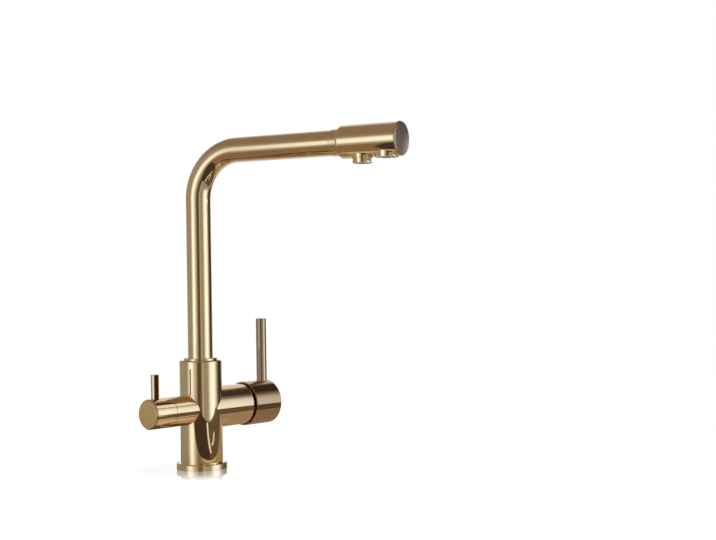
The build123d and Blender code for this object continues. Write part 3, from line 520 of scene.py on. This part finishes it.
def build_studio():
    """A warm room with light panels and dark ones, which only shiny faces mirror."""
    world = bpy.data.worlds.new("studio")
    bpy.context.scene.world = world
    world.use_nodes = True
    tree = world.node_tree
    tree.nodes.clear()
    parts, azimuth = around(tree, wire(tree, "ShaderNodeTexCoord").outputs["Generated"])
    elevation = maths(tree, "MULTIPLY", maths(tree, "ARCSINE", parts["Z"]), 180 / pi)
    wall = (0.35, 0.33, 0.28, 1)
    ceiling = (0.27, 0.205, 0.15, 1)
    colour = blend(tree, between(tree, elevation, 16, 42), wall, ceiling)
    # middle, width, lowest, highest, softness aside, softness upwards, colour
    panels = (
        (180, 44, -45, 50, 40, 30, grey(0.62)),
        (166, 42, 18, 62, 26, 24, (0.74, 0.74, 0.72, 1)),
        (180, 22, 3, 15, 14, 6, grey(1.05)),
        (-46, 28, -13, 16, 30, 20, (1.35, 1.50, 1.60, 1)),
        (-20, 10, -14, 14, 10, 20, (0.55, 0.52, 0.46, 1)),
        (75, 39, -18, 29, 28, 12, (1.22, 1.40, 1.58, 1)),
        (0, 24, -40, 40, 16, 30, (0.10, 0.075, 0.045, 1)),
        (18, 6, -40, 40, 6, 30, (0.55, 0.51, 0.44, 1)),
        (135, 46, -14, 62, 26, 12, (0.04, 0.035, 0.028, 1)),
        (114, 76, 37, 70, 30, 12, (0.05, 0.04, 0.03, 1)),
    )
    for middle, width, low, high, soft, soft_up, tone in panels:
        share = panel(tree, azimuth, elevation, middle, width, low, high, soft, soft_up)
        colour = blend(tree, share, colour, tone)
    # every other face gets plain white light
    mirrored = wire(tree, "ShaderNodeLightPath").outputs["Is Glossy Ray"]
    colour = blend(tree, mirrored, grey(1.0), colour)
    light = made(tree, "ShaderNodeBackground", {"Color": colour, "Strength": 1.0})
    wire(tree, "ShaderNodeOutputWorld", {"Surface": light})


def along(tree, parts, azimuth):
    """How far a place lies in the direction of an azimuth."""
    first = maths(tree, "MULTIPLY", parts["X"], cos(radians(azimuth)))
    return maths(tree, "ADD", first, maths(tree, "MULTIPLY", parts["Y"], sin(radians(azimuth))))


def stripe(tree, parts, azimuth, shift, sway, start, end):
    """How much of a stripe a place is in. It widens as it leads away from the tap, and may sway."""
    half_width = 0.065  # for each metre of its length
    sway_rate = 38.3  # radians a metre
    sway_start = 8.1  # radians
    fade = 0.02
    length = along(tree, parts, azimuth)
    aside = maths(tree, "SUBTRACT", along(tree, parts, azimuth + 90), shift)
    slope = maths(tree, "DIVIDE", aside, length)
    turn = maths(tree, "SUBTRACT", maths(tree, "MULTIPLY", length, sway_rate), sway_start)
    swayed = maths(tree, "ADD", slope, maths(tree, "MULTIPLY", maths(tree, "SINE", turn), sway))
    inside = between(tree, maths(tree, "ABSOLUTE", swayed), half_width * 1.6, half_width * 0.5)
    begun = between(tree, length, start, start + fade)
    unended = between(tree, length, end + fade, end)
    return maths(tree, "MULTIPLY", inside, maths(tree, "MULTIPLY", begun, unended))


def painted_table_light(tree, parts, azimuth, away, ahead):
    """The table as the metal mirrors it: a warm painted glow, with patches of painted light and shade and
    two painted light stripes.
    """
    far = 2.00
    all_round = 400
    dark_start = 0.090
    ground = (0.25, 0.18, 0.11, 1)
    # middle, width, nearest, furthest, softness aside, softness outwards, level, colour
    patches = (
        (125, 90, 0.050, far, 40, 0.04, away, (0.35, 0.27, 0.18, 1)),
        (180, 76, 0.300, far, 40, 0.36, away, (0.68, 0.64, 0.57, 1)),
        # a painted shadow of the tap, close to its foot on the left and behind it
        (-98, 130, 0.000, 0.115, 24, 0.04, away, (0.09, 0.060, 0.036, 1)),
        (52, 140, 0.000, 0.064, 40, 0.02, away, (0.58, 0.49, 0.36, 1)),
        (48, 76, 0.075, 0.110, 20, 0.008, ahead, (0.64, 0.54, 0.37, 1)),
        (0, all_round, dark_start, far, 1, 0.01, ahead, (0.06, 0.042, 0.03, 1)),
        (100, 104, dark_start, far, 8, 0.01, ahead, (0.13, 0.10, 0.065, 1)),
    )
    for middle, width, low, high, soft, soft_out, level, tone in patches:
        share = panel(tree, azimuth, level, middle, width, low, high, soft, soft_out)
        ground = blend(tree, share, ground, tone)
    straight = stripe(tree, parts, azimuth=30, shift=0.063, sway=0.0, start=0.120, end=0.42)
    wavy = stripe(tree, parts, azimuth=111, shift=-0.163, sway=0.05, start=0.120, end=0.26)
    return blend(tree, maths(tree, "MAXIMUM", straight, wavy), ground, (0.95, 0.97, 0.92, 1))


def mirrored_table(tree, parts, azimuth, away, ahead, radius):
    """What the metal sees of the table."""
    full_shine = 0.86
    # the table glows with its painted light and shade, which the metal mirrors
    lit = made(tree, "ShaderNodeEmission", {"Color": painted_table_light(tree, parts, azimuth, away, ahead)})
    # on the left, and close to the tap, the table is glossy at low angles
    gloss = made(tree, "ShaderNodeBsdfGlossy", {"Color": grey(1.0), "Roughness": 0.04})
    left = panel(tree, azimuth, away, -73, 118, 0.0, radius * 2, 14, 0.02)
    glossy = maths(tree, "MAXIMUM", left, between(tree, away, 0.068, 0.056))
    glossy = maths(tree, "MULTIPLY", glossy, between(tree, ahead, 0.097, 0.077))
    grazing = wire(tree, "ShaderNodeLayerWeight", {"Blend": 0.5}).outputs["Facing"]
    shine = maths(tree, "MULTIPLY", glossy, between(tree, grazing, 0.62, 0.87, 0.0, full_shine))
    table = mix_shaders(tree, shine, lit, gloss)
    # in front the ground ends, and the metal sees the panels again
    clear = made(tree, "ShaderNodeBsdfTransparent")
    return mix_shaders(tree, between(tree, ahead, 0.44, 0.46), table, clear)


def seen_table(tree, away):
    """What the camera sees of the table: white, with a faint shadow and a mirror image at the tap's foot."""
    white_share = 0.82  # the rest is lit by the lamps and the studio, and takes the shadow
    foot_sheen = 0.75
    matt = made(tree, "ShaderNodeBsdfDiffuse", {"Color": grey(1.0)})
    white = made(tree, "ShaderNodeEmission", {"Color": grey(1.0)})
    matt = mix_shaders(tree, white_share, matt, white)
    sheen = made(tree, "ShaderNodeBsdfGlossy", {"Color": grey(1.0), "Roughness": 0.06})
    return mix_shaders(tree, between(tree, away, 0.032, 0.095, foot_sheen, 0.0), matt, sheen)


def build_floor(radius):
    """A round table top, which the camera sees as white and the metal as a warm glowing ground with painted
    light and dark parts.
    """
    sides = 96
    ahead_way = 46  # the table's dark part begins at a straight line across this azimuth
    mesh = bpy.data.meshes.new("floor")
    angles = [2 * pi * i / sides for i in range(sides)]
    rim = [(radius * cos(angle), radius * sin(angle), 0) for angle in angles]
    mesh.from_pydata(rim, [], [range(sides)])
    floor = bpy.data.objects.new("floor", mesh)
    bpy.context.scene.collection.objects.link(floor)
    material, tree = new_material("floor")
    mesh.materials.append(material)
    where = own_place(tree)
    away = vectors(tree, "LENGTH", where)
    parts, azimuth = around(tree, where)
    ahead = along(tree, parts, ahead_way)
    mirrored = mirrored_table(tree, parts, azimuth, away, ahead, radius)
    by_mirror = wire(tree, "ShaderNodeLightPath").outputs["Is Glossy Ray"]
    both = mix_shaders(tree, by_mirror, seen_table(tree, away), mirrored)
    wire(tree, "ShaderNodeOutputMaterial", {"Surface": both})


def lamp(name, place, size, power, mirrored=False):
    """A round lamp that points at the foot of the tap, and that the metal mirrors or not."""
    light = bpy.data.lights.new(name, "AREA")
    light.shape = "DISK"
    light.size = size
    light.energy = power
    piece = bpy.data.objects.new(name, light)
    bpy.context.scene.collection.objects.link(piece)
    aim = Vector(place).to_track_quat("Z", "Y").to_matrix().to_4x4()
    piece.matrix_world = Matrix.Translation(place) @ aim
    piece.visible_glossy = mirrored
    piece.visible_camera = False


def build_dark_card(left, right, depth, low, high):
    """A small dark card close to the filter lever, which only the metal sees."""
    mesh = bpy.data.meshes.new("dark_card")
    corners = [(left, depth, low), (right, depth, low), (right, depth, high), (left, depth, high)]
    mesh.from_pydata(corners, [], [(0, 1, 2, 3)])
    card = bpy.data.objects.new("dark_card", mesh)
    bpy.context.scene.collection.objects.link(card)
    material, tree = new_material("dark_card")
    mesh.materials.append(material)
    dim = made(tree, "ShaderNodeEmission", {"Color": (0.025, 0.018, 0.010, 1)})
    wire(tree, "ShaderNodeOutputMaterial", {"Surface": dim})
    card.visible_camera = False
    card.visible_diffuse = False
    card.visible_shadow = False
    card.visible_transmission = False


build_studio()
build_floor(radius=0.62)
lamp("overhead", place=(-0.3, -0.4, 1.8), size=2.8, power=34)
lamp("small_card", place=(0.198, -0.176, 0.327), size=0.128, power=0.034, mirrored=True)
build_dark_card(left=-67 * MM, right=-45 * MM, depth=-10 * MM, low=73 * MM, high=125 * MM)

bpy.context.scene.view_settings.view_transform = "Standard"
